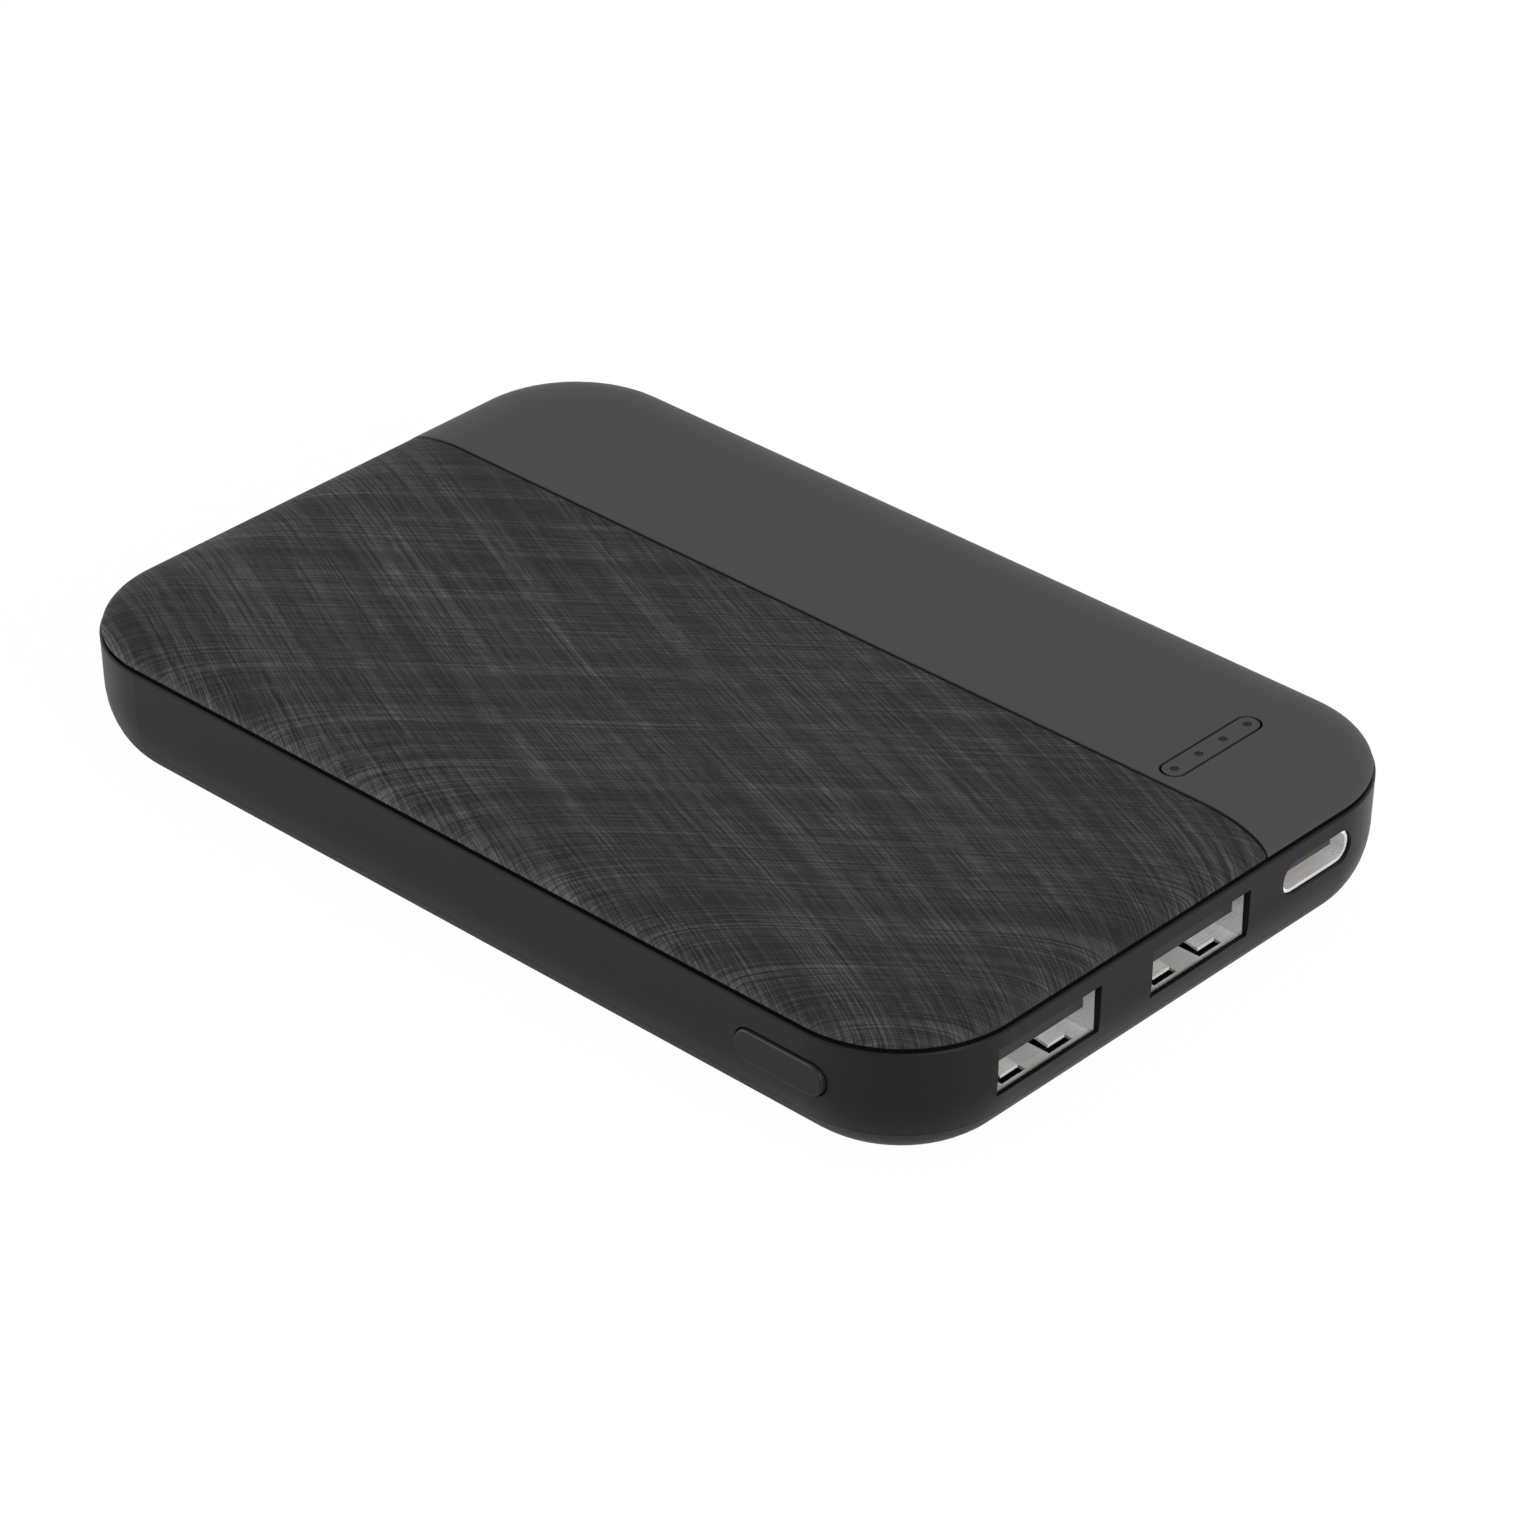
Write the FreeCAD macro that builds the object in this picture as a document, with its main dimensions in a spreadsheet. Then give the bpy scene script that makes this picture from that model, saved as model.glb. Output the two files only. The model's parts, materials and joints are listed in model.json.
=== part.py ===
"""A slim power bank with two USB-A sockets and one USB-C socket, in millimetres.

The origin is the middle of the flat base. +X points to the end with the
sockets, -Y to the long side with the button, and +Z is up.

Every formula below is a text of spreadsheet names. A name always holds an
underscore, and formula() turns it into a reference to the sheet.
"""
import FreeCAD, Part
import math
import os
import re

import Sketcher
from FreeCAD import Vector

SHEET_ROWS = [
    # The case: its plan, and the heights of its three shells.
    ("case_length", 102.8), ("case_width", 66.2), ("case_height", 14.5), ("case_radius", 11.7),
    ("frame_top", 11.66), ("frame_wall", 1.6), ("frame_chamfer", 0.15), ("wall_start", 4.95),
    ("side_inset", 0.12), ("curve_top", 7.21), ("curve_reach", 5.02),
    ("low_seam", 3.1), ("seam_gap", 0.05), ("rim_inset", 2.4), ("rim_top", 4.5),
    ("floor_thick", 1.4), ("floor_inset", 5.6), ("fuse_lap", 0.2),
    # Snap beads: the covers' tongues click into grooves of the frame.
    ("tongue_gap", 0.15), ("tongue_wall", 0.8), ("lead_in", 0.1),
    ("bead_depth", 0.35), ("bead_half", 0.3), ("low_bead", 4.05), ("top_bead", 11.15),
    ("low_tongue_top", 4.6), ("top_tongue_low", 10.75),
    # The crowned top: plain strip, textured panel, glue film and the deck below them.
    ("cover_inset", 0.2), ("cover_edge", 12.08), ("crown_start", 11.91), ("crown_reach", 7.2),
    ("strip_step", 0.1), ("panel_thick", 0.8), ("film_thick", 0.1), ("ceiling_height", 12.5),
    ("ledge_inset", 0.8), ("ledge_wide", 0.9), ("ledge_root", 0.32),
    ("finish_seam", 11.1), ("finish_groove", 0.3),
    # Charge indicator: a window in the strip with a bezel, light guide and four lamps.
    ("window_centre", 39.13), ("lamp_first", 13.53), ("lamp_pitch", 3.213),
    ("window_half", 1.3), ("window_margin", 1.33), ("window_gap", 0.25),
    ("bezel_flange", 0.9), ("bezel_flange_thick", 0.6), ("bezel_hole", 0.4),
    ("guide_pin", 0.35), ("guide_recess", 0.05), ("guide_leg", 0.7), ("guide_leg_low", 7.55),
    ("guide_bar_low", 10.5), ("guide_bar_half", 0.8), ("guide_bar_end", 0.7),
    ("lamp_long", 1.6), ("lamp_wide", 0.8), ("lamp_high", 0.6),
    # Circuit board.
    ("board_low", 5.8), ("board_thick", 1.0), ("board_rear", 26.0), ("board_half", 29.0),
    ("board_inset", 2.0), ("board_slack", 0.2),
    ("screw_along", 28.6), ("screw_side", 25.0), ("post_radius", 2.1), ("pilot_radius", 0.9),
    ("pilot_floor", 2.4), ("shank_radius", 0.85), ("shank_floor", 2.8), ("board_hole", 1.1),
    ("head_radius", 1.8), ("head_high", 1.3), ("recess_half", 0.9), ("recess_wide", 0.4),
    ("recess_deep", 0.7),
    # USB-A sockets, drawn about their own centre line and then moved to port_one and port_two.
    ("port_one", -16.3), ("port_two", 2.7), ("port_height", 7.72), ("port_front", 50.6),
    ("port_depth", 14.0), ("port_wide", 12.5), ("port_high", 5.12), ("port_sheet", 0.3),
    ("port_corner", 0.5), ("port_pocket", 0.1), ("port_opening", 4.7), ("port_lip", 0.05),
    ("slot_centre", 2.9), ("slot_wide", 2.9), ("slot_front", 50.03), ("slot_rear", 42.5),
    ("finger_wide", 2.1), ("finger_tip", 49.5), ("finger_crest", 48.2), ("finger_bend", 43.0),
    ("tip_lift", 0.4), ("crest_lift", 0.6),
    ("wing_reach", 1.25), ("wing_thick", 0.3), ("wing_long", 2.0), ("wing_rear", 38.0),
    ("wing_pitch", 6.0),
    ("tongue_front", 50.0), ("tongue_low", 7.63), ("tongue_high", 1.84), ("tongue_half", 5.55),
    ("block_front", 39.6), ("block_slack", 0.05),
    ("contact_thick", 0.18), ("contact_wide", 1.0), ("contact_front", 49.3), ("contact_rear", 35.6),
    ("contact_inner", 1.0), ("contact_outer", 3.5), ("foot_rear", 34.8),
    # USB-C socket.
    ("type_c_side", 17.95), ("type_c_height", 8.39), ("type_c_front", 50.9), ("type_c_depth", 7.3),
    ("type_c_wide", 8.94), ("type_c_high", 3.16), ("type_c_sheet", 0.3), ("type_c_corner", 1.5),
    ("type_c_gap", 0.1), ("type_c_slack", 0.02), ("type_c_block", 1.8),
    ("type_c_tongue_half", 3.35), ("type_c_tongue_high", 0.6), ("type_c_tongue_front", 50.0),
    ("type_c_pitch", 0.5), ("type_c_pad_wide", 0.3), ("type_c_pad_thick", 0.08),
    ("type_c_pad_rear", 45.9), ("type_c_pad_front", 49.7),
    ("type_c_wing_in", 3.6), ("type_c_wing_out", 5.4), ("type_c_wing_thick", 0.29),
    ("type_c_wing_rear", 44.5), ("type_c_wing_long", 1.4), ("type_c_wing_pitch", 3.0),
    # Button and the switch behind it.
    ("button_along", 37.2), ("button_height", 7.51), ("button_long", 9.6), ("button_high", 3.1),
    ("button_proud", 0.3), ("button_gap", 0.15), ("button_back_gap", 0.65), ("button_edge", 0.25),
    ("flange_grow", 0.8), ("flange_thick", 0.6),
    ("stem_half", 1.2), ("stem_high", 0.8), ("stem_length", 0.45), ("plunger_play", 0.05),
    ("switch_front", 28.9), ("switch_deep", 2.8), ("switch_half", 2.35), ("switch_high", 1.6),
    ("plunger_half", 1.0), ("plunger_low", 7.1), ("plunger_high", 1.0), ("plunger_end", 28.0),
    ("plunger_slack", 0.1), ("plunger_room", 0.4),
    ("switch_plate", 0.15), ("terminal_out", 0.6), ("terminal_long", 0.8), ("terminal_inset", 0.4),
    # Battery.
    ("cell_rear", -46.0), ("cell_front", 20.5), ("cell_half", 27.6), ("cell_low", 1.75),
    ("cell_thick", 9.5), ("cell_corner", 3.0), ("cell_edge", 1.4),
    ("seal_reach", 3.9), ("seal_half", 26.0), ("seal_low", 6.3), ("seal_thick", 0.4),
    ("pad_rear", -40.0), ("pad_front", 14.0), ("pad_half", 22.0),
    ("rib_rear", 20.9), ("rib_thick", 1.0), ("rib_half", 24.0), ("rib_top", 5.6),
    ("guard_rear", 20.7), ("guard_front", 24.4), ("guard_half", 13.0), ("guard_low", 7.2),
    ("guard_thick", 0.8), ("guard_chip_half", 1.5), ("guard_chip_along", 22.5),
    ("guard_chip_long", 1.7), ("guard_chip_high", 0.9), ("guard_chip_side", 3.0),
    ("insulator_thick", 0.1), ("insulator_low", 3.2), ("insulator_high", 6.6),
    ("tab_side", 7.0), ("tab_half", 2.0), ("tab_low", 6.4), ("tab_thick", 0.2),
    ("tab_bend", 25.2), ("tab_end", 23.0),
    # Battery leads, from the guard board to the circuit board.
    ("lead_side", 10.5), ("lead_radius", 0.65), ("lead_lift", 0.05), ("lead_start", 21.6),
    ("lead_drop", 24.9), ("lead_land", 27.2), ("lead_stop", 29.5), ("lead_bend", 0.45),
    ("solder_long", 0.7), ("solder_half", 0.8), ("solder_high", 0.9),
    # Parts on the circuit board.
    ("coil_along", 27.6), ("coil_side", 13.7), ("coil_size", 6.6), ("coil_high", 3.0),
    ("coil_corner", 1.2), ("coil_cap", 0.5),
    ("chip_along", 29.0), ("chip_size", 5.0), ("chip_high", 0.85),
    ("chip_pad_long", 0.5), ("chip_pad_wide", 0.35), ("chip_pad_thick", 0.12),
    ("chip_pad_pitch", 0.75),
    ("fet_along", 30.0), ("fet_side", 6.2), ("fet_size", 3.0), ("fet_high", 0.9),
    ("cap_along", 27.8), ("cap_pitch", 3.3), ("cap_side", -14.5), ("cap_step", -2.8),
    ("cap_long", 3.0), ("cap_wide", 1.6), ("cap_high", 1.5),
    ("resistor_along", 35.4), ("resistor_long", 1.6), ("resistor_wide", 0.8),
    ("resistor_high", 0.45),
]
LAMPS = 4
TYPE_C_PADS = 12
CHIP_PADS = 6
CAP_ROWS = 3

DOC = FreeCAD.newDocument("power_bank")
SHEET = DOC.addObject("Spreadsheet::Sheet", "dims")


def fill_sheet():
    for row, (alias, size) in enumerate(SHEET_ROWS, start=1):
        SHEET.set("A%d" % row, alias.replace("_", " "))
        SHEET.set("B%d" % row, repr(size))
        SHEET.setAlias("B%d" % row, alias)
    DOC.recompute()


# ---------------------------------------------------------------- formulas

def formula(text):
    """Turn the bare names of a formula into references to the sheet."""
    return re.sub(r"[a-z]+(?:_[a-z0-9]+)+", r"dims.\g<0>", text)


def value(text):
    return float(SHEET.evalExpression(formula(text)))


def bind(thing, sizes):
    """Bind each property of thing to its formula."""
    for name, text in sizes.items():
        thing.setExpression(name, formula(text))


def curve_inset(height):
    """How far the lower curve stands in from the frame's top edge at a height."""
    fall = "(curve_top - (%s)) / curve_top" % height
    return "side_inset + curve_reach * (1 - sqrt(1 - (%s) ^ 2))" % fall


def crown_inset(offset, top):
    """How far a crown's lower edge stands in, for a crown offset inwards and its top."""
    rise = "(cover_edge - crown_start) / ((%s) - crown_start)" % top
    return "cover_inset + (%s) + (crown_reach - (%s)) * (1 - sqrt(1 - (%s) ^ 2))" % (
        offset, offset, rise)


# ---------------------------------------------------------------- sketches

def sketch_on(body, role, name, offset="0"):
    """A sketch on one of a body's origin planes, moved along its normal.

    XY_Plane faces +Z, YZ_Plane faces +X with Y across, XZ_Plane faces -Y with X across.
    """
    plane = next(item for item in body.Origin.OriginFeatures if item.Role == role)
    sketch = body.newObject("Sketcher::SketchObject", name)
    sketch.AttachmentSupport = (plane, [""])
    sketch.MapMode = "FlatFace"
    bind(sketch, {"AttachmentOffset.Base.z": offset})
    return sketch


def hold(sketch, edge, end, place):
    """Fix a point of a sketch at a pair of formulas."""
    for kind, text in zip(("DistanceX", "DistanceY"), place):
        rule = Sketcher.Constraint(kind, -1, 1, edge, end, value(text))
        index = sketch.addConstraint(rule)
        bind(sketch, {"Constraints[%d]" % index: text})


def spot(place):
    return Vector(value(place[0]), value(place[1]), 0)


def arc_ends(curve, start, stop):
    """The curve's parameters from start to stop the short way, and which end start is."""
    first = curve.parameter(start)
    last = curve.parameter(stop)
    if (last - first) % (2 * math.pi) < math.pi:
        return first, last, (1, 2)
    return last, first, (2, 1)


def add_round(sketch, start, stop, centre, radius):
    circle = Part.Circle(spot(centre), Vector(0, 0, 1), value(radius))
    first, last, ends = arc_ends(circle, spot(start), spot(stop))
    edge = sketch.addGeometry(Part.ArcOfCircle(circle, first, last), False)
    index = sketch.addConstraint(Sketcher.Constraint("Radius", edge, value(radius)))
    bind(sketch, {"Constraints[%d]" % index: radius})
    return edge, ends


def add_oval(sketch, start, stop, centre, across, up):
    """A stretch of an ellipse whose half sizes are across and up."""
    middle = spot(centre)
    wide = Vector(value(across), 0, 0)
    high = Vector(0, value(up), 0)
    flat = wide.Length > high.Length
    major = wide if flat else high
    minor = high if flat else -wide
    ellipse = Part.Ellipse(middle + major, middle + minor, middle)
    first, last, ends = arc_ends(ellipse, spot(start), spot(stop))
    edge = sketch.addGeometry(Part.ArcOfEllipse(ellipse, first, last), False)
    axis = sketch.addGeometry(Part.LineSegment(middle + major, middle - major), True)
    sketch.addConstraint(Sketcher.Constraint("InternalAlignment:EllipseMajorDiameter", axis, edge))
    sketch.addConstraint(Sketcher.Constraint("Horizontal" if flat else "Vertical", axis))
    hold(sketch, edge, 3, centre)
    return edge, ends


def outline(sketch, points, bends=None, closed=True):
    """Join points, which are pairs of formulas, by lines.

    bends gives an edge's number its ("round", centre, radius) or
    ("oval", centre, across, up) instead.
    """
    bends = bends or {}
    edges = []
    count = len(points) if closed else len(points) - 1
    for number in range(count):
        start = points[number]
        stop = points[(number + 1) % len(points)]
        bend = bends.get(number)
        if bend is None:
            line = Part.LineSegment(spot(start), spot(stop))
            edges.append((sketch.addGeometry(line, False), (1, 2)))
        elif bend[0] == "round":
            edges.append(add_round(sketch, start, stop, *bend[1:]))
        else:
            edges.append(add_oval(sketch, start, stop, *bend[1:]))
        hold(sketch, edges[-1][0], edges[-1][1][0], start)
    for (edge, ends), (follower, follower_ends) in zip(edges, edges[1:] + edges[:1]):
        if closed or follower != edges[0][0]:
            sketch.addConstraint(Sketcher.Constraint(
                "Coincident", edge, ends[1], follower, follower_ends[0]))


def rounded_outline(sketch, across, up, radius, split=False):
    """A rectangle with round corners between two pairs of formulas.

    split puts one more point in the middle of the lowest side.
    """
    left, right = across
    low, high = up
    inner = {"left": "(%s) + (%s)" % (left, radius), "right": "(%s) - (%s)" % (right, radius),
             "low": "(%s) + (%s)" % (low, radius), "high": "(%s) - (%s)" % (high, radius)}
    middle = [("((%s) + (%s)) / 2" % (left, right), low)] if split else []
    points = middle + [
        (inner["right"], low), (right, inner["low"]),
        (right, inner["high"]), (inner["right"], high),
        (inner["left"], high), (left, inner["high"]),
        (left, inner["low"]), (inner["left"], low)]
    first = len(middle)
    centres = [("right", "low"), ("right", "high"), ("left", "high"), ("left", "low")]
    bends = {first + 2 * turn: ("round", (inner[side], inner[level]), radius)
             for turn, (side, level) in enumerate(centres)}
    outline(sketch, points, bends)


def case_outline(sketch, inset, split=False):
    """The plan of the case, drawn in by an inset all round."""
    half_long = "case_length / 2 - (%s)" % inset
    half_wide = "case_width / 2 - (%s)" % inset
    rounded_outline(sketch, ("-(%s)" % half_long, half_long), ("-(%s)" % half_wide, half_wide),
                    "case_radius - (%s)" % inset, split)


# ---------------------------------------------------------------- features

def new_body(label):
    return DOC.addObject("PartDesign::Body", label)


def pad(body, sketch, length):
    feature = body.newObject("PartDesign::Pad", sketch.Name + "_pad")
    feature.Profile = sketch
    bind(feature, {"Length": length})
    body.Tip = feature
    return feature


def pocket(body, sketch, length):
    """Cut away from the sketch, against its normal."""
    feature = body.newObject("PartDesign::Pocket", sketch.Name + "_pocket")
    feature.Profile = sketch
    bind(feature, {"Length": length})
    body.Tip = feature
    return feature


def ring(body, name, points, bends=None):
    """Sweep an outline, given as insets from the case's side and heights, round the case."""
    route = sketch_on(body, "XY_Plane", name + "_route")
    case_outline(route, "0", split=True)
    section = sketch_on(body, "YZ_Plane", name + "_section")

    def across(inset):
        return "(%s) - case_width / 2" % inset

    placed = {edge: ("oval", (across(centre[0]), centre[1]), reach, rise)
              for edge, (_, centre, reach, rise) in (bends or {}).items()}
    outline(section, [(across(inset), height) for inset, height in points], placed)
    DOC.recompute()
    feature = body.newObject("PartDesign::AdditivePipe", name)
    feature.Profile = section
    feature.Spine = route
    body.Tip = feature
    return feature


def edges_at(shape, axis, level):
    """Names of the edges that lie in one plane across an axis."""
    names = []
    for number, edge in enumerate(shape.Edges, start=1):
        box = edge.BoundBox
        low, high = getattr(box, axis + "Min"), getattr(box, axis + "Max")
        if abs(low - level) < 1e-4 and abs(high - level) < 1e-4:
            names.append("Edge%d" % number)
    return names


def round_edges(body, base, places, radius):
    """Fillet the edges of a feature that lie in the planes of places."""
    DOC.recompute()
    names = []
    for axis, level in places:
        names += edges_at(base.Shape, axis, value(level))
    feature = body.newObject("PartDesign::Fillet", base.Name + "_round")
    feature.Base = (base, names)
    bind(feature, {"Radius": radius})
    body.Tip = feature
    return feature


def block(label, along, across, up):
    """A box between three pairs of formulas."""
    box = DOC.addObject("Part::Box", label)
    bind(box, {
        "Length": "(%s) - (%s)" % (along[1], along[0]),
        "Width": "(%s) - (%s)" % (across[1], across[0]),
        "Height": "(%s) - (%s)" % (up[1], up[0]),
        "Placement.Base.x": along[0],
        "Placement.Base.y": across[0],
        "Placement.Base.z": up[0]})
    return box


def rod(label, along, across, up, radius):
    """An upright cylinder at (along, across) between a pair of heights."""
    cylinder = DOC.addObject("Part::Cylinder", label)
    bind(cylinder, {
        "Radius": radius,
        "Height": "(%s) - (%s)" % (up[1], up[0]),
        "Placement.Base.x": along,
        "Placement.Base.y": across,
        "Placement.Base.z": up[0]})
    return cylinder


def slab(label, along, across, up, radius):
    """An upright prism with round corners."""
    body = new_body(label)
    sketch = sketch_on(body, "XY_Plane", label + "_plan", up[0])
    rounded_outline(sketch, along, across, radius)
    pad(body, sketch, "(%s) - (%s)" % (up[1], up[0]))
    return body


def case_slab(label, inset, up):
    """An upright prism with the plan of the case, drawn in by an inset."""
    body = new_body(label)
    sketch = sketch_on(body, "XY_Plane", label + "_plan", up[0])
    case_outline(sketch, inset)
    pad(body, sketch, "(%s) - (%s)" % (up[1], up[0]))
    return body


def cut(label, base, tool):
    result = DOC.addObject("Part::Cut", label)
    result.Base = base
    result.Tool = tool
    return result


def common(label, base, tool):
    result = DOC.addObject("Part::Common", label)
    result.Base = base
    result.Tool = tool
    return result


def join(label, members):
    result = DOC.addObject("Part::MultiFuse", label)
    result.Shapes = members
    return result


def group(label, members):
    result = DOC.addObject("Part::Compound", label)
    result.Links = members
    return result


def spread(middle, half):
    """The pair of formulas half each side of a middle."""
    return "(%s) - (%s)" % (middle, half), "(%s) + (%s)" % (middle, half)


def run(start, length):
    """The pair of formulas from a start over a length."""
    return start, "(%s) + (%s)" % (start, length)


# ---------------------------------------------------------------- the three shells

LOW_CURVE_CENTRE = ("side_inset + curve_reach", "curve_top")
BOARD_TOP = "board_low + board_thick"
PANEL_TOP = "case_height - strip_step"
PORTS = (("1", "port_one"), ("2", "port_two"))


def frame_ring(body):
    seam = "low_seam + seam_gap / 2"
    points = [
        (curve_inset(seam), seam), ("rim_inset", seam),
        ("rim_inset", "low_bead - bead_half"), ("rim_inset - bead_depth", "low_bead"),
        ("rim_inset", "low_bead + bead_half"), ("rim_inset", "rim_top"),
        ("frame_wall", "wall_start"),
        ("frame_wall", "top_bead - bead_half"), ("frame_wall - bead_depth", "top_bead"),
        ("frame_wall", "top_bead + bead_half"), ("frame_wall", "frame_top"),
        ("frame_chamfer", "frame_top"), ("0", "frame_top - frame_chamfer"),
        ("side_inset", "curve_top")]
    last = len(points) - 1
    ring(body, "frame_sweep", points,
         {last: ("oval", LOW_CURVE_CENTRE, "curve_reach", "curve_top")})


def middle_frame():
    """The band round the middle, with the holes for the sockets and the button."""
    body = new_body("middle_frame")
    frame_ring(body)
    past = "case_length / 2 + seam_gap"
    half_wide = "port_wide / 2"
    for number, centre in PORTS:
        hole = sketch_on(body, "YZ_Plane", "port_hole_" + number, past)
        outline(hole, [
            ("%s - %s" % (centre, half_wide), "port_height - port_opening / 2"),
            ("%s + %s" % (centre, half_wide), "port_height - port_opening / 2"),
            ("%s + %s" % (centre, half_wide), "port_height + port_opening / 2"),
            ("%s - %s" % (centre, half_wide), "port_height + port_opening / 2")])
        pocket(body, hole, "2 * rim_inset")
        seat = sketch_on(body, "YZ_Plane", "port_seat_" + number, "port_front + port_lip")
        grown = "port_sheet + port_pocket"
        rounded_outline(seat, spread(centre, "port_wide / 2 + " + grown),
                        spread("port_height", "port_high / 2 + " + grown), "port_corner")
        pocket(body, seat, "rim_inset")
    hole = sketch_on(body, "YZ_Plane", "type_c_hole", past)
    rounded_outline(hole, spread("type_c_side", "type_c_wide / 2 + type_c_gap"),
                    spread("type_c_height", "type_c_high / 2 + type_c_gap"),
                    "type_c_corner + type_c_gap")
    pocket(body, hole, "2 * rim_inset")
    hole = sketch_on(body, "XZ_Plane", "button_hole", "case_width / 2 + seam_gap")
    rounded_outline(hole, spread("button_along", "button_long / 2 + button_gap"),
                    spread("button_height", "button_high / 2 + button_gap"),
                    "button_high / 2 + button_gap - seam_gap")
    pocket(body, hole, "2 * rim_inset")
    return body


def cover_ring(body):
    seam = "low_seam - seam_gap / 2"
    outside = "rim_inset + tongue_gap"
    inside = "rim_inset + tongue_gap + tongue_wall"
    points = [
        ("side_inset + curve_reach", "0"), ("floor_inset", "0"), ("floor_inset", "floor_thick"),
        (inside, "floor_thick"), (inside, "low_tongue_top"),
        (outside + " + lead_in", "low_tongue_top"), (outside, "low_tongue_top - lead_in"),
        (outside, "low_bead + bead_half"), (outside + " - bead_depth", "low_bead"),
        (outside, "low_bead - bead_half"), (outside, seam), (curve_inset(seam), seam)]
    last = len(points) - 1
    ring(body, "cover_sweep", points,
         {last: ("oval", LOW_CURVE_CENTRE, "curve_reach", "curve_top")})


def bottom_cover():
    """The shallow tray under the frame, with its tongue, screw posts and battery rib."""
    body = new_body("bottom_cover")
    cover_ring(body)
    floor = sketch_on(body, "XY_Plane", "cover_floor")
    case_outline(floor, "floor_inset - fuse_lap")
    pad(body, floor, "floor_thick")
    rise = "floor_thick - fuse_lap"
    rib = sketch_on(body, "XY_Plane", "battery_rib", rise)
    along = run("rib_rear", "rib_thick")
    outline(rib, [(along[0], "-rib_half"), (along[1], "-rib_half"),
                  (along[1], "rib_half"), (along[0], "rib_half")])
    pad(body, rib, "rib_top - (%s)" % rise)
    for name, side in (("near", "-screw_side"), ("far", "screw_side")):
        post = sketch_on(body, "XY_Plane", "post_" + name, rise)
        disc(post, ("screw_along", side), "post_radius")
        pad(body, post, "board_low - (%s)" % rise)
        pilot = sketch_on(body, "XY_Plane", "pilot_" + name, "board_low")
        disc(pilot, ("screw_along", side), "pilot_radius")
        pocket(body, pilot, "board_low - pilot_floor")
    return body


def disc(sketch, centre, radius):
    """A full circle in a sketch."""
    circle = Part.Circle(spot(centre), Vector(0, 0, 1), value(radius))
    edge = sketch.addGeometry(circle, False)
    index = sketch.addConstraint(Sketcher.Constraint("Radius", edge, value(radius)))
    bind(sketch, {"Constraints[%d]" % index: radius})
    hold(sketch, edge, 3, centre)


def crown(label, offset, top):
    """A solid cushion shape: the case's plan with an elliptical rounding to a flat top."""
    body = new_body(label)
    reach = "crown_reach - (%s)" % offset
    inner = "cover_inset + crown_reach"
    rise = "(%s) - crown_start" % top
    points = [(crown_inset(offset, top), "cover_edge"),
              (inner + " + fuse_lap", "cover_edge"), (inner + " + fuse_lap", top), (inner, top)]
    ring(body, label + "_sweep", points, {3: ("oval", (inner, "crown_start"), reach, rise)})
    middle = sketch_on(body, "XY_Plane", label + "_middle", "cover_edge")
    case_outline(middle, inner)
    pad(body, middle, "(%s) - cover_edge" % top)
    return body


def side_of_seam(label, gap, far):
    """A block that covers the case on one side of the seam between the two finishes."""
    edge = "finish_seam + (%s)" % gap
    across = (edge, "case_width") if far else ("-case_width", edge)
    return block(label, ("-case_length", "case_length"), across, ("0", "2 * case_height"))


def top_cover():
    """The lid: the plain strip, the sunk deck under the panel, and a tongue into the frame."""
    strip = common("strip_crown", crown("crown_outer", "0", "case_height"),
                   side_of_seam("strip_side", "finish_groove / 2", True))
    depth = "panel_thick + film_thick"
    deck = common("deck_crown", crown("crown_deck", depth, "%s - (%s)" % (PANEL_TOP, depth)),
                  side_of_seam("deck_side", "finish_groove", False))
    tongue = new_body("lid_tongue")
    outside = "frame_wall + tongue_gap"
    inside = "frame_wall + tongue_gap + tongue_wall"
    top = "cover_edge + ledge_root"
    ring(tongue, "lid_sweep", [
        (outside + " + lead_in", "top_tongue_low"), (inside + " + fuse_lap", "top_tongue_low"),
        (inside + " + fuse_lap", top), ("ledge_inset + ledge_wide", top),
        ("ledge_inset + ledge_wide", "cover_edge"), ("ledge_inset", "cover_edge"),
        ("ledge_inset", "frame_top"), (outside, "frame_top"),
        (outside, "top_bead + bead_half"), (outside + " - bead_depth", "top_bead"),
        (outside, "top_bead - bead_half")])
    whole = join("lid_whole", [strip, deck, tongue])
    hollow = case_slab("lid_hollow", inside, ("low_tongue_top", "ceiling_height"))
    window = slab("lid_window", spread("window_centre", "window_half"),
                  ("lamp_first - window_margin", lamp_side(LAMPS - 1) + " + window_margin"),
                  ("crown_start", "case_height + strip_step"), "window_half - seam_gap")
    return cut("top_cover", cut("lid_hollowed", whole, hollow), window)


def crown_layer(label, outer, inner, top):
    """A shell between two crowns on the panel's side of the seam."""
    def made(name, offset):
        return crown(label + name, offset, "%s - (%s)" % (top, offset))

    skin = cut(label + "_skin", made("_outer", outer), made("_inner", inner))
    return common(label, skin, side_of_seam(label + "_side", "-finish_groove / 2", False))


def textured_panel():
    """The decorative panel, rolled down over three edges of the lid."""
    return crown_layer("textured_panel", "0", "panel_thick", PANEL_TOP)


def panel_adhesive():
    """The film that bonds the panel to the deck."""
    return crown_layer("panel_adhesive", "panel_thick", "panel_thick + film_thick", PANEL_TOP)


# ---------------------------------------------------------------- charge indicator

def lamp_side(number):
    return "lamp_first + %d * lamp_pitch" % number


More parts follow.
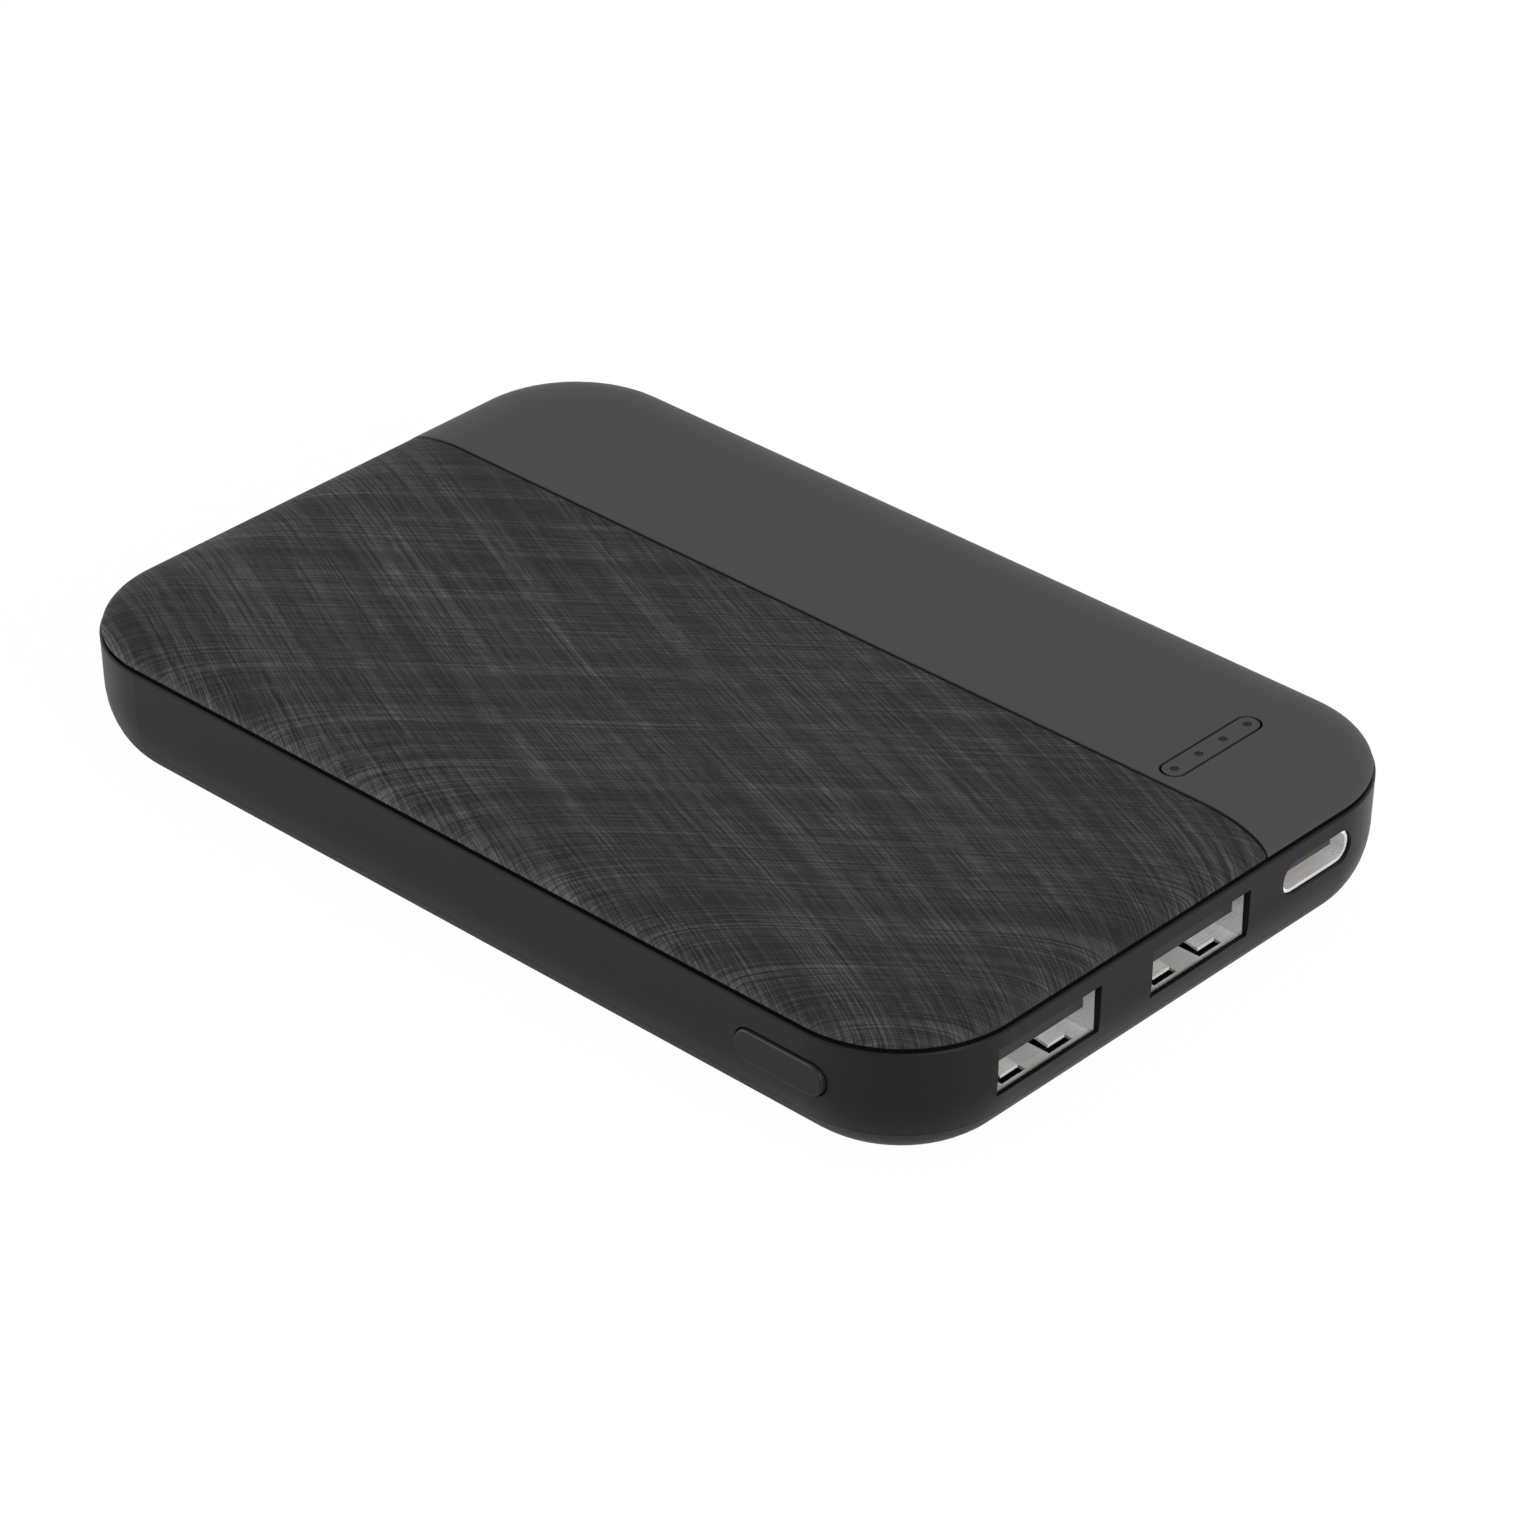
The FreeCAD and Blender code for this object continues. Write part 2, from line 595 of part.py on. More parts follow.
def indicator_bezel():
    """The stadium-shaped insert of the window, with a flange under the lid."""
    far = lamp_side(LAMPS - 1)
    half = "window_half - window_gap"
    reach = "window_margin - window_gap"
    island = slab("bezel_island", spread("window_centre", half),
                  ("lamp_first - (%s)" % reach, "%s + %s" % (far, reach)),
                  ("ceiling_height - fuse_lap", "case_height"), half + " - seam_gap")
    grown = "window_half + bezel_flange"
    flange = slab("bezel_base", spread("window_centre", grown),
                  ("lamp_first - window_margin - bezel_flange",
                   far + " + window_margin + bezel_flange"),
                  ("ceiling_height - bezel_flange_thick", "ceiling_height"),
                  grown + " - seam_gap")
    holes = [rod("bezel_hole_%d" % number, "window_centre", lamp_side(number),
                 ("guide_bar_low", "case_height + strip_step"), "bezel_hole")
             for number in range(LAMPS)]
    return cut("indicator_bezel", join("bezel_whole", [island, flange]),
               join("bezel_holes", holes))


def light_guide():
    """A clear comb that carries light from the lamps to the window's four dots."""
    bar_top = "ceiling_height - bezel_flange_thick"
    bar = block("guide_bar", spread("window_centre", "guide_bar_half"),
                ("lamp_first - guide_bar_end", lamp_side(LAMPS - 1) + " + guide_bar_end"),
                ("guide_bar_low", bar_top))
    pieces = [bar]
    for number in range(LAMPS):
        pieces.append(rod("guide_pin_%d" % number, "window_centre", lamp_side(number),
                          ("guide_bar_low", "case_height - guide_recess"), "guide_pin"))
        pieces.append(rod("guide_leg_%d" % number, "window_centre", lamp_side(number),
                          ("guide_leg_low", "guide_bar_low + fuse_lap"), "guide_leg"))
    return join("light_guide", pieces)


def status_leds():
    lamps = [block("lamp_%d" % number, spread("window_centre", "lamp_long / 2"),
                   spread(lamp_side(number), "lamp_wide / 2"), run(BOARD_TOP, "lamp_high"))
             for number in range(LAMPS)]
    return group("status_leds", lamps)


# ---------------------------------------------------------------- button and switch

BUTTON_WALL = "case_width / 2 - side_inset"
BUTTON_BACK = "case_width / 2 - frame_wall - button_back_gap"
BUTTON_REAR = BUTTON_BACK + " - flange_thick"


def power_button():
    """The side key: a stadium cap, the flange that keeps it in, and a stem."""
    body = new_body("power_button")
    layers = (
        ("button_flange", BUTTON_REAR, "flange_thick", "button_long / 2 + flange_grow",
         "button_high / 2 + flange_grow"),
        ("button_cap", BUTTON_BACK, "%s + button_proud - (%s)" % (BUTTON_WALL, BUTTON_BACK),
         "button_long / 2", "button_high / 2"))
    for name, depth, length, half_long, half_high in layers:
        sketch = sketch_on(body, "XZ_Plane", name, depth)
        rounded_outline(sketch, spread("button_along", half_long),
                        spread("button_height", half_high), half_high + " - seam_gap")
        cap = pad(body, sketch, length)
    round_edges(body, cap, [("Y", "-(%s + button_proud)" % BUTTON_WALL)], "button_edge")
    stem = sketch_on(body, "XZ_Plane", "button_stem", BUTTON_REAR + " - stem_length")
    rounded_outline(stem, spread("button_along", "stem_half"),
                    spread("button_height", "stem_high"), "lead_in")
    pad(body, stem, "stem_length")
    return body


def tact_switch_housing():
    """The switch's moulded body, open to the front for its plunger."""
    case = block("switch_body", spread("button_along", "switch_half"),
                 ("-switch_front", "-switch_front + switch_deep"),
                 run(BOARD_TOP, "switch_high"))
    slot = block("switch_slot", spread("button_along", "plunger_half + plunger_slack"),
                 ("-switch_front - plunger_slack", "-plunger_end + plunger_room"),
                 ("plunger_low - plunger_slack", "plunger_low + plunger_high + plunger_slack"))
    return cut("tact_switch_housing", case, slot)


def tact_switch_plunger():
    front = "-(%s - stem_length - plunger_play)" % BUTTON_REAR
    return block("tact_switch_plunger", spread("button_along", "plunger_half"),
                 (front, "-plunger_end"), run("plunger_low", "plunger_high"))


def tact_switch_plate():
    """The steel plate over the switch."""
    return block("tact_switch_plate", spread("button_along", "switch_half"),
                 ("-switch_front", "-switch_front + switch_deep"),
                 run(BOARD_TOP + " + switch_high", "switch_plate"))


def tact_switch_terminals():
    pieces = []
    for name, start in (("left", "button_along - switch_half - terminal_out"),
                        ("right", "button_along + switch_half")):
        for row, across in (("front", "-switch_front + terminal_inset"),
                            ("rear", "-switch_front + switch_deep - terminal_inset"
                                     " - terminal_long")):
            pieces.append(block("terminal_%s_%s" % (name, row), run(start, "terminal_out"),
                                run(across, "terminal_long"), run(BOARD_TOP, "contact_thick")))
    return group("tact_switch_terminals", pieces)


# ---------------------------------------------------------------- USB-A sockets

def finger(body, name, centre, sign):
    """A leaf spring of the shell's sheet that rises from its root to a crest and a tip."""
    wall = "port_high / 2"
    lift = {"root": "0", "crest": "crest_lift", "tip": "tip_lift"}

    def at(along, step, outer):
        depth = "%s - %s%s" % (wall, lift[step], " + port_sheet" if outer else "")
        return along, "port_height %s (%s)" % (sign, depth)

    root = "slot_rear - fuse_lap"
    sketch = sketch_on(body, "XZ_Plane", name, "-(%s + finger_wide / 2)" % centre)
    outline(sketch, [
        at(root, "root", True), at("finger_bend", "root", True), at("finger_crest", "crest", True),
        at("finger_tip", "tip", True), at("finger_tip", "tip", False),
        at("finger_crest", "crest", False), at("finger_bend", "root", False),
        at(root, "root", False)])
    pad(body, sketch, "finger_wide")


def usb_a_shell(number, centre):
    """The folded steel shell: a tube with four leaf springs and four mounting wings."""
    body = new_body("usb_a_shell_" + number)
    rear = "port_front - port_depth"
    tube = sketch_on(body, "YZ_Plane", "shell_tube_" + number, rear)
    rounded_outline(tube, spread("0", "port_wide / 2 + port_sheet"),
                    spread("port_height", "port_high / 2 + port_sheet"), "port_corner")
    pad(body, tube, "port_depth")
    bore = sketch_on(body, "YZ_Plane", "shell_bore_" + number, "port_front")
    rounded_outline(bore, spread("0", "port_wide / 2"),
                    spread("port_height", "port_high / 2"), "port_corner - port_sheet")
    pocket(body, bore, "port_depth")
    springs = [(side, sign) for side in ("-slot_centre", "slot_centre") for sign in ("-", "+")]
    for index, (side, sign) in enumerate(springs):
        level = "port_height - (port_high / 2 - lead_in)" if sign == "-" else (
            "port_height + port_high / 2 + port_sheet + lead_in")
        slot = sketch_on(body, "XY_Plane", "slot_%s_%d" % (number, index), level)
        low, high = spread(side, "slot_wide / 2")
        outline(slot, [("slot_rear", low), ("slot_front", low),
                       ("slot_front", high), ("slot_rear", high)])
        pocket(body, slot, "port_sheet + 2 * lead_in")
    for index, (side, sign) in enumerate(springs):
        finger(body, "finger_%s_%d" % (number, index), side, sign)
    for index in range(2):
        rear_edge = "wing_rear + %d * wing_pitch" % index
        for name, edge, reach in (("low", "-(port_wide / 2 + port_sheet)", "-wing_reach"),
                                  ("high", "port_wide / 2 + port_sheet", "wing_reach")):
            wing = sketch_on(body, "XY_Plane", "wing_%s_%d_%s" % (name, index, number), BOARD_TOP)
            sides = ["%s - (%s) * 0.1" % (edge, reach), "%s + %s" % (edge, reach)]
            if name == "low":
                sides.reverse()
            outline(wing, [(rear_edge, sides[0]), (rear_edge + " + wing_long", sides[0]),
                           (rear_edge + " + wing_long", sides[1]), (rear_edge, sides[1])])
            pad(body, wing, "wing_thick")
    bind(body, {"Placement.Base.y": centre})
    return body


def contact_row(label):
    """Four flat contacts under the tongue, each bent down to a foot on the board."""
    pieces = []
    top = "tongue_low"
    for index, side in enumerate(("-contact_outer", "-contact_inner", "contact_inner",
                                  "contact_outer")):
        across = spread(side, "contact_wide / 2")
        name = "%s_%d" % (label, index)
        pieces.append(block(name + "_blade", ("contact_rear", "contact_front"), across,
                            (top + " - contact_thick", top)))
        pieces.append(block(name + "_drop", run("contact_rear", "contact_thick"), across,
                            (BOARD_TOP, top)))
        pieces.append(block(name + "_foot", ("foot_rear", "contact_rear + contact_thick"), across,
                            run(BOARD_TOP, "contact_thick")))
    return join(label, pieces)


def usb_a_contacts(number, centre):
    row = contact_row("usb_a_contacts_" + number)
    bind(row, {"Placement.Base.y": centre})
    return row


def usb_a_tongue(number, centre):
    """The moulded tongue and the block that closes the shell's rear, round the contacts."""
    tag = "tongue_%s_" % number
    rear = "port_front - port_depth"
    tongue = block(tag + "blade", (rear, "tongue_front"), ("-tongue_half", "tongue_half"),
                   run("tongue_low", "tongue_high"))
    base = block(tag + "base", (rear, "block_front"),
                 spread("0", "port_wide / 2 - block_slack - lead_in"),
                 spread("port_height", "port_high / 2 - block_slack"))
    whole = join(tag + "whole", [tongue, base])
    result = cut("usb_a_tongue_" + number, whole, contact_row(tag + "slots"))
    bind(result, {"Placement.Base.y": centre})
    return result


# ---------------------------------------------------------------- USB-C socket

def usb_c_shell():
    body = new_body("usb_c_shell")
    tube = sketch_on(body, "YZ_Plane", "type_c_tube", "type_c_front - type_c_depth")
    middle = spread("type_c_side", "type_c_wide / 2")
    rounded_outline(tube, middle, spread("type_c_height", "type_c_high / 2"), "type_c_corner")
    pad(body, tube, "type_c_depth")
    for index in range(2):
        rear_edge = "type_c_wing_rear + %d * type_c_wing_pitch" % index
        for name, low, high in (
                ("low", "type_c_side - type_c_wing_out", "type_c_side - type_c_wing_in"),
                ("high", "type_c_side + type_c_wing_in", "type_c_side + type_c_wing_out")):
            wing = sketch_on(body, "XY_Plane", "type_c_wing_%s_%d" % (name, index), BOARD_TOP)
            outline(wing, [(rear_edge, low), (rear_edge + " + type_c_wing_long", low),
                           (rear_edge + " + type_c_wing_long", high), (rear_edge, high)])
            pad(body, wing, "type_c_wing_thick")
    bore = sketch_on(body, "YZ_Plane", "type_c_bore", "type_c_front")
    rounded_outline(bore, spread("type_c_side", "type_c_wide / 2 - type_c_sheet"),
                    spread("type_c_height", "type_c_high / 2 - type_c_sheet"),
                    "type_c_corner - type_c_sheet")
    pocket(body, bore, "type_c_depth")
    return body


def usb_c_tongue():
    """The moulded block at the rear of the shell and the thin tongue in its middle."""
    body = new_body("usb_c_tongue")
    rear = "type_c_front - type_c_depth"
    base = sketch_on(body, "YZ_Plane", "type_c_base", rear)
    thinner = "type_c_sheet - type_c_slack"
    rounded_outline(base, spread("type_c_side", "type_c_wide / 2 - " + thinner),
                    spread("type_c_height", "type_c_high / 2 - " + thinner),
                    "type_c_corner - type_c_sheet - type_c_slack")
    pad(body, base, "type_c_block")
    blade = sketch_on(body, "YZ_Plane", "type_c_blade", rear)
    rounded_outline(blade, spread("type_c_side", "type_c_tongue_half"),
                    spread("type_c_height", "type_c_tongue_high / 2"), "lead_in")
    pad(body, blade, "type_c_tongue_front - (%s)" % rear)
    return body


def usb_c_contacts():
    """Two rows of small contacts, one on each face of the tongue."""
    pads = []
    first = "type_c_side - type_c_pitch * %s" % ((TYPE_C_PADS - 1) / 2)
    for number in range(TYPE_C_PADS):
        across = spread("%s + %d * type_c_pitch" % (first, number), "type_c_pad_wide / 2")
        for face, low in (("over", "type_c_height + type_c_tongue_high / 2"),
                          ("under", "type_c_height - type_c_tongue_high / 2"
                                    " - type_c_pad_thick")):
            pads.append(block("type_c_pad_%s_%d" % (face, number),
                              ("type_c_pad_rear", "type_c_pad_front"), across,
                              run(low, "type_c_pad_thick")))
    return group("usb_c_contacts", pads)


# ---------------------------------------------------------------- circuit board

def circuit_board():
    """The board follows the case's plan at the front, and is notched round the USB-A shells."""
    plan = common("board_plan", case_slab("board_prism", "board_inset",
                                          ("board_low", BOARD_TOP)),
                  block("board_half_plan", ("board_rear", "case_length"),
                        ("-board_half", "board_half"), ("0", "case_height")))
    through = ("board_low - lead_in", BOARD_TOP + " + lead_in")
    tools = [block("board_notch_" + number,
                   ("port_front - port_depth - board_slack", "case_length"),
                   spread(centre, "port_wide / 2 + port_sheet + board_slack"), through)
             for number, centre in PORTS]
    tools += [rod("board_hole_%d" % index, "screw_along", side, through, "board_hole")
              for index, side in enumerate(("-screw_side", "screw_side"))]
    return cut("circuit_board", plan, join("board_cuts", tools))


def board_screws():
    """Two pan-head screws with a cross recess, down into the posts."""
    screws = []
    for index, side in enumerate(("-screw_side", "screw_side")):
        tag = "screw_%d_" % index
        shank = rod(tag + "shank", "screw_along", side, ("shank_floor", BOARD_TOP),
                    "shank_radius")
        head = rod(tag + "head", "screw_along", side, run(BOARD_TOP, "head_high"), "head_radius")
        top = BOARD_TOP + " + head_high"
        depth = (top + " - recess_deep", top + " + lead_in")
        cross = join(tag + "cross", [
            block(tag + "slot_along", spread("screw_along", "recess_half"),
                  spread(side, "recess_wide / 2"), depth),
            block(tag + "slot_across", spread("screw_along", "recess_wide / 2"),
                  spread(side, "recess_half"), depth)])
        screws.append(cut(tag + "whole", join(tag + "blank", [shank, head]), cross))
    return group("board_screws", screws)


def power_inductor():
    """The square coil of the charging circuit, in a moulded core with cut corners."""
    return slab("power_inductor", run("coil_along", "coil_size"), run("coil_side", "coil_size"),
                (BOARD_TOP + " + coil_cap", BOARD_TOP + " + coil_high"), "coil_corner")


def inductor_terminals():
    """The two flat terminals that lift the coil off the board."""
    pads = [block("coil_pad_%d" % index, run("coil_along", "coil_size"),
                  run(side, "coil_size / 4"), run(BOARD_TOP, "coil_cap"))
            for index, side in enumerate(("coil_side", "coil_side + coil_size * 3 / 4"))]
    return group("inductor_terminals", pads)


def controller_chip():
    return block("controller_chip", run("chip_along", "chip_size"),
                 spread("0", "chip_size / 2"), run(BOARD_TOP, "chip_high"))


def controller_leads():
    """Flat leads along the chip's two sides."""
    leads = []
    for number in range(CHIP_PADS):
        along = spread("chip_along + chip_size / 2 + chip_pad_pitch * %s"
                       % (number - (CHIP_PADS - 1) / 2), "chip_pad_wide / 2")
        for index, start in enumerate(("-chip_size / 2 - chip_pad_long", "chip_size / 2")):
            leads.append(block("chip_lead_%d_%d" % (index, number), along,
                               run(start, "chip_pad_long"), run(BOARD_TOP, "chip_pad_thick")))
    return group("controller_leads", leads)


def power_transistors():
    return group("power_transistors", [
        block("fet_%d" % index, run("fet_along", "fet_size"), spread(side, "fet_size / 2"),
              run(BOARD_TOP, "fet_high"))
        for index, side in enumerate(("-fet_side", "fet_side"))])


def ceramic_capacitors():
    caps = []
    for row in range(CAP_ROWS):
        for column in range(2):
            caps.append(block("cap_%d_%d" % (row, column),
                              run("cap_along + %d * cap_pitch" % column, "cap_long"),
                              spread("cap_side + %d * cap_step" % row, "cap_wide / 2"),
                              run(BOARD_TOP, "cap_high")))
    return group("ceramic_capacitors", caps)


def lamp_resistors():
    return group("lamp_resistors", [
        block("resistor_%d" % number, run("resistor_along", "resistor_long"),
              spread(lamp_side(number), "resistor_wide / 2"), run(BOARD_TOP, "resistor_high"))
        for number in range(LAMPS)])


# ---------------------------------------------------------------- battery

def battery_cell():
    """The flat pouch cell, with the thin seal at the end where its tabs come out."""
    body = new_body("battery_cell")
    plan = sketch_on(body, "XY_Plane", "cell_plan", "cell_low")
    rounded_outline(plan, ("cell_rear", "cell_front"), ("-cell_half", "cell_half"), "cell_corner")
    pouch = pad(body, plan, "cell_thick")
    round_edges(body, pouch, [("Z", "cell_low"), ("Z", "cell_low + cell_thick")], "cell_edge")
    seal = sketch_on(body, "XY_Plane", "cell_seal", "seal_low")
    start = "cell_front - fuse_lap"
    stop = "cell_front + seal_reach"
    outline(seal, [(start, "-seal_half"), (stop, "-seal_half"),
                   (stop, "seal_half"), (start, "seal_half")])
    pad(body, seal, "seal_thick")
    return body


def cell_adhesive():
    """Double-sided tape between the cell and the bottom cover."""
    return block("cell_adhesive", ("pad_rear", "pad_front"), ("-pad_half", "pad_half"),
                 ("floor_thick", "cell_low"))


def cell_foam():
    """The foam that fills the space between the cell and the lid."""
    return block("cell_foam", ("pad_rear", "pad_front"), ("-pad_half", "pad_half"),
                 ("cell_low + cell_thick", "ceiling_height"))


def seal_insulator():
    """Insulating tape on the pouch's end, behind the guard board."""
    return block("seal_insulator", run("cell_front", "insulator_thick"),
                 ("-guard_half", "guard_half"),
                 ("seal_low + seal_thick", "insulator_low + insulator_high"))


def guard_board():
    """The small protection board that lies over the pouch's seal."""
    return block("guard_board", ("guard_rear", "guard_front"), ("-guard_half", "guard_half"),
                 run("guard_low", "guard_thick"))


def guard_chips():
    return group("guard_chips", [
        block("guard_chip_%d" % index, spread("guard_chip_along", "guard_chip_long / 2"),
              spread(side, "guard_chip_half"),
              run("guard_low + guard_thick", "guard_chip_high"))
        for index, side in enumerate(("-guard_chip_side", "guard_chip_side"))])


def cell_tabs():
    """Two nickel tabs, folded up from the seal and back onto the guard board."""
    tabs = []
    top = "guard_low + guard_thick"
    for index, side in enumerate(("-tab_side", "tab_side")):
        across = spread(side, "tab_half")
        tag = "tab_%d_" % index
        tabs.append(join(tag + "whole", [
            block(tag + "root", ("cell_front + seal_reach", "tab_bend"), across,
                  run("tab_low", "tab_thick")),
            block(tag + "rise", ("tab_bend - tab_thick", "tab_bend"), across,
                  ("tab_low", top + " + tab_thick")),
            block(tag + "back", ("tab_end", "tab_bend"), across, run(top, "tab_thick"))]))
    return group("cell_tabs", tabs)


def lead_route(side):
    """Corner points of a battery lead: along the guard board, down, and along the board."""
    high = value("guard_low + guard_thick + lead_radius + lead_lift")
    low = value(BOARD_TOP + " + lead_radius + lead_lift")
    return [Vector(value(along), side, level) for along, level in (
        ("lead_start", high), ("lead_drop", high), ("lead_land", low), ("lead_stop", low))]


def rounded_wire(corners):
    """Straight runs joined by tangent arcs, as large as the runs beside them allow."""
    edges = []
    start = corners[0]
    for before, corner, after in zip(corners, corners[1:], corners[2:]):
        into = (corner - before).normalize()
        out = (after - corner).normalize()
        half_turn = into.getAngle(out) / 2
        reach = value("lead_bend") * min((corner - before).Length, (after - corner).Length)
        radius = reach / math.tan(half_turn)
        print("lead bend radius %.2f mm" % radius)
        first = corner - into * reach
        last = corner + out * reach
        towards = (out - into).normalize()
        middle = corner + towards * (radius / math.cos(half_turn) - radius)
        edges.append(Part.LineSegment(start, first).toShape())
        edges.append(Part.Arc(first, middle, last).toShape())
        start = last
    edges.append(Part.LineSegment(start, corners[-1]).toShape())
    return Part.Wire(edges)


def battery_lead(label, side):
    """A short insulated lead, a tube along its route."""
    wire = rounded_wire(lead_route(value(side)))
    radius = value("lead_radius")
    mouth = Part.Circle(wire.Vertexes[0].Point, Vector(1, 0, 0), radius).toShape()
    tube = wire.makePipeShell([Part.Wire([mouth])], True, False)
    expected = math.pi * radius ** 2 * wire.Length
    if abs(tube.Volume / expected - 1) > 0.01:
        raise RuntimeError("%s: %.3f mm3 for %.3f" % (label, tube.Volume, expected))
    lead = DOC.addObject("Part::Feature", label)
    lead.Shape = tube
    return lead


def solder_joints():
    """Four solder fillets, one at each end of the two leads."""
    joints = []
    for index, side in enumerate(("-lead_side", "lead_side")):
        ends = (("lead_start - solder_long", "guard_low + guard_thick"),
                ("lead_stop", BOARD_TOP))
        for number, (start, level) in enumerate(ends):
            joints.append(block("solder_%d_%d" % (index, number), run(start, "solder_long"),
                                spread(side, "solder_half"), run(level, "solder_high")))
    return group("solder_joints", joints)


# ---------------------------------------------------------------- assembly

def build():
    parts = [middle_frame(), bottom_cover(), top_cover(), textured_panel(), panel_adhesive(),
             indicator_bezel(), light_guide(), status_leds(), power_button(),
             tact_switch_housing(), tact_switch_plunger(), tact_switch_plate(),
             tact_switch_terminals()]
    for number, centre in PORTS:
        parts += [usb_a_shell(number, centre), usb_a_tongue(number, centre),
                  usb_a_contacts(number, centre)]
    parts += [usb_c_shell(), usb_c_tongue(), usb_c_contacts(), circuit_board(), board_screws(),
              power_inductor(), inductor_terminals(), controller_chip(), controller_leads(),
              power_transistors(), ceramic_capacitors(), lamp_resistors(), battery_cell(),
              cell_adhesive(), cell_foam(), seal_insulator(), guard_board(), guard_chips(),
              cell_tabs(), battery_lead("battery_lead_positive", "lead_side"),
              battery_lead("battery_lead_negative", "-lead_side"), solder_joints()]
    return parts


def check(parts):
    for thing in DOC.Objects:
        if "Invalid" in thing.State or "Error" in thing.State:
            raise RuntimeError("%s failed: %s" % (thing.Name, thing.State))
    for part in parts:
        if part.Shape.isNull() or not part.Shape.isValid() or not part.Shape.Solids:
            raise RuntimeError("%s has a bad shape" % part.Label)
        print("%-24s solids %2d volume %9.2f" % (
            part.Label, len(part.Shape.Solids), part.Shape.Volume))


def main():
    fill_sheet()
    parts = build()
    DOC.recompute()
    check(parts)
    os.makedirs("parts", exist_ok=True)
    for part in parts:
        part.Shape.exportStep("parts/%s.step" % part.Label)


main()
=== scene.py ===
import json
import math

import bpy
from mathutils import Matrix, Vector


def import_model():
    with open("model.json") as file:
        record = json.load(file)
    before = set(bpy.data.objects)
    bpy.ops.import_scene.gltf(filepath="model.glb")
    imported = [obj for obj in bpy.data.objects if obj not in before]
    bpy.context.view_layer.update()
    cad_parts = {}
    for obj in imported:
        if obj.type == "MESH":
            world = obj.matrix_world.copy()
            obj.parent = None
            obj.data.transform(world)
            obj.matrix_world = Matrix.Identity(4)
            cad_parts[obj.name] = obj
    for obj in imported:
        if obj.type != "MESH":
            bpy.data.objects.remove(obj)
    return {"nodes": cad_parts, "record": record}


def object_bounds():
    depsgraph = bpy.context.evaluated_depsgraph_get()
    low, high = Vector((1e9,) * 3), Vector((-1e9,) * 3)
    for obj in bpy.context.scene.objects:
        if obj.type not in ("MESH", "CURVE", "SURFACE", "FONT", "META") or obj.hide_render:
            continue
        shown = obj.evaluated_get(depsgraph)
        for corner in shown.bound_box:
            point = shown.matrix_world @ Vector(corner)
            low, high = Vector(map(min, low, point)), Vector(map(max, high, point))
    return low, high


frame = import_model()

CAD_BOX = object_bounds()

# All lengths are in metres.
MM = 0.001

# The camera looks at a point near the middle of the case, from the socket end.
AZIMUTH = math.radians(43.10)
ELEVATION = math.radians(32.40)
LOOK_AT = Vector((4.8, 0.3, 5.8)) * MM
DISTANCE = 0.5
SENSOR = 36.0
LENS = 135.11
CLIP_START = 0.01

# Brightness of the surround, as seen by the camera, gloss and glass, and as cast on the case.
SURROUND_SEEN = 1.0
SURROUND_CAST = 0.35

# The floor, and the share of plain white that the camera sees in it. So large a share leaves
# only a trace of the shadow.
FLOOR_HALF = 3.0
FLOOR_WHITE = (0.8, 0.8, 0.8)
FLOOR_GLOW = 0.985

# Finishes, as linear colours.
FRAME_BLACK = (0.005, 0.005, 0.0052)
STRIP_GREY = (0.031, 0.031, 0.0313)
PANEL_DARK = (0.0025, 0.0025, 0.0026)
PANEL_LIGHT = (0.088, 0.088, 0.09)
STEEL = (0.8, 0.8, 0.81)
WHITE = (1, 1, 1, 1)

# Shine of dielectrics: well under Blender's usual 0.5, for matt plastic.
PLASTIC_GLOSS = 0.12
PANEL_GLOSS = 0.1

# The range that most of a noise texture's values fall in.
NOISE_LOW, NOISE_HIGH = 0.3, 0.7

# Directions of the panel's two families of lines, and how far slow waves bend them.
FALLING_TURN = math.radians(22)
RISING_TURN = math.radians(-40)
BEND = 6.0 * MM
BEND_SCALE = 14.0

# Streaks of the panel: noise per metre along and across them, and the noise that starts and
# ends their fade from dark to light.
BANDS = (9, 330, 0.32, 0.68)
THREADS = (20, 3000, 0.46, 0.60)
HAIRS = (60, 8000, 0.48, 0.60)
DASHES = (350, 6500, 0.54, 0.62)

# Weight of each streak in a family, and how much of a family its bands fade out.
THREAD_WEIGHT = 0.45
HAIR_WEIGHT = 0.6
DASH_WEIGHT = 0.5
BAND_DEPTH = 0.75

# Weight of each family, and of the points where both are light.
FALLING_WEIGHT = 0.26
RISING_WEIGHT = 0.2
CROSSING_WEIGHT = 0.45
LINE_HEIGHT = 0.12 * MM
LINE_ROUGHNESS = 0.36
GAP_ROUGHNESS = 0.6

# Turn that runs the rolling lines of the socket shells across the case.
ROLLING_TURN = math.radians(90)


# ---------------------------------------------------------------- materials

